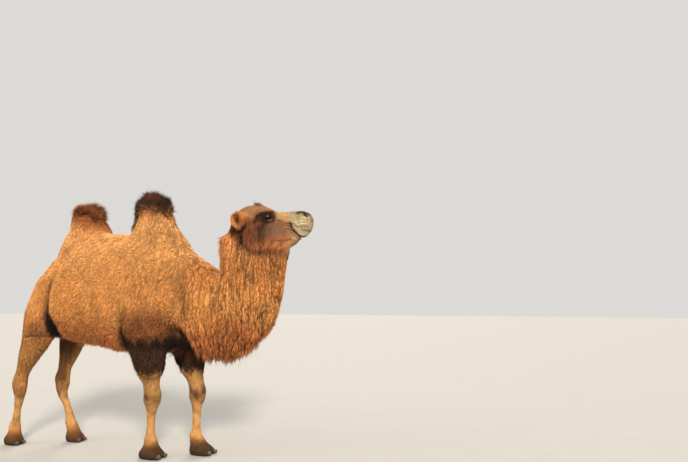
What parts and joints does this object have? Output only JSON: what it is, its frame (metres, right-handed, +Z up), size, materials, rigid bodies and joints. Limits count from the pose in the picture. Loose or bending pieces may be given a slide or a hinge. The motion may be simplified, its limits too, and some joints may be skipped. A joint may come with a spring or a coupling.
{
  "type": "bactrian camel",
  "caption": "Life-size Bactrian camel that stands with its head raised, with tall humps, a throat mane, shaggy forelegs and broad padded feet.",
  "frame": {"origin": "middle of the bounding box's base, on the ground the soles stand on", "axes": "+X the way the camel faces, +Y its left side, +Z up"},
  "size_m": [2.9136, 0.8072, 2.1995],
  "materials": {
    "coat_tan": "woolly hair, sunlit tan to orange-brown",
    "coat_dark": "long coarse dark brown hair",
    "coat_pale": "short smooth pale tan hair",
    "eye": "wet gloss",
    "toenail": "worn horn, dull"
  },
  "bodies": {
    "root": {"trunk": "coat_tan", "hump_front": "coat_dark", "hump_rear": "coat_dark", "neck_lower": "coat_tan", "neck_upper": "coat_tan", "head": "coat_tan", "ear_right": "coat_tan", "ear_left": "coat_tan", "eye_right": "eye", "eye_left": "eye", "tail": "coat_tan", "foreleg_right_upper": "coat_dark", "foreleg_right_lower": "coat_pale", "forefoot_right": "coat_tan", "nail_forefoot_right_right": "toenail", "nail_forefoot_right_left": "toenail", "foreleg_left_upper": "coat_dark", "foreleg_left_lower": "coat_pale", "forefoot_left": "coat_tan", "nail_forefoot_left_right": "toenail", "nail_forefoot_left_left": "toenail", "hindleg_right_upper": "coat_tan", "hindleg_right_lower": "coat_pale", "hindfoot_right": "coat_tan", "nail_hindfoot_right_right": "toenail", "nail_hindfoot_right_left": "toenail", "hindleg_left_upper": "coat_tan", "hindleg_left_lower": "coat_pale", "hindfoot_left": "coat_tan", "nail_hindfoot_left_right": "toenail", "nail_hindfoot_left_left": "toenail"}
  },
  "joints": []
}
